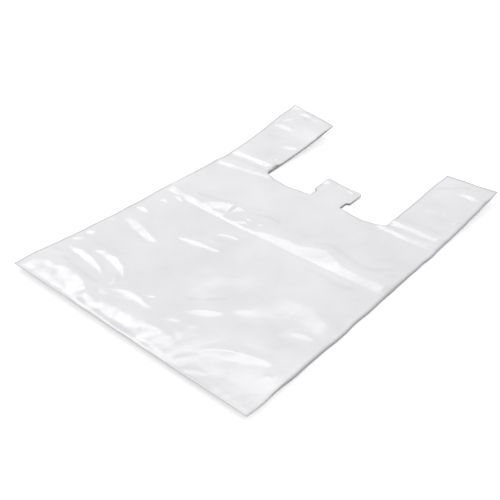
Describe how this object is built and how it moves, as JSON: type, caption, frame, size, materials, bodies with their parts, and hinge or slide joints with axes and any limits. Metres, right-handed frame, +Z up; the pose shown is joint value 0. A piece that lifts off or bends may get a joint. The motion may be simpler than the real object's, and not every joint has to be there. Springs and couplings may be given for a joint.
{
  "type": "plastic carrier bag",
  "caption": "Empty plastic carrier bag lying flat, with vest handles, a hanging tab in the mouth, folded side gussets and a welded bottom.",
  "frame": {"origin": "middle of the bag's flat outline, on the surface that the bag lies on", "axes": "+Y along the bag from the bottom weld to the handle ends, +Z up out of the front, +X to the right seen from the front with the handles away"},
  "size_m": [0.3, 0.46, 0.0261],
  "materials": {
    "white_film": "milky white polyethylene film with a soft gloss"
  },
  "bodies": {
    "root": {"carrier_bag": "white_film"}
  },
  "joints": []
}
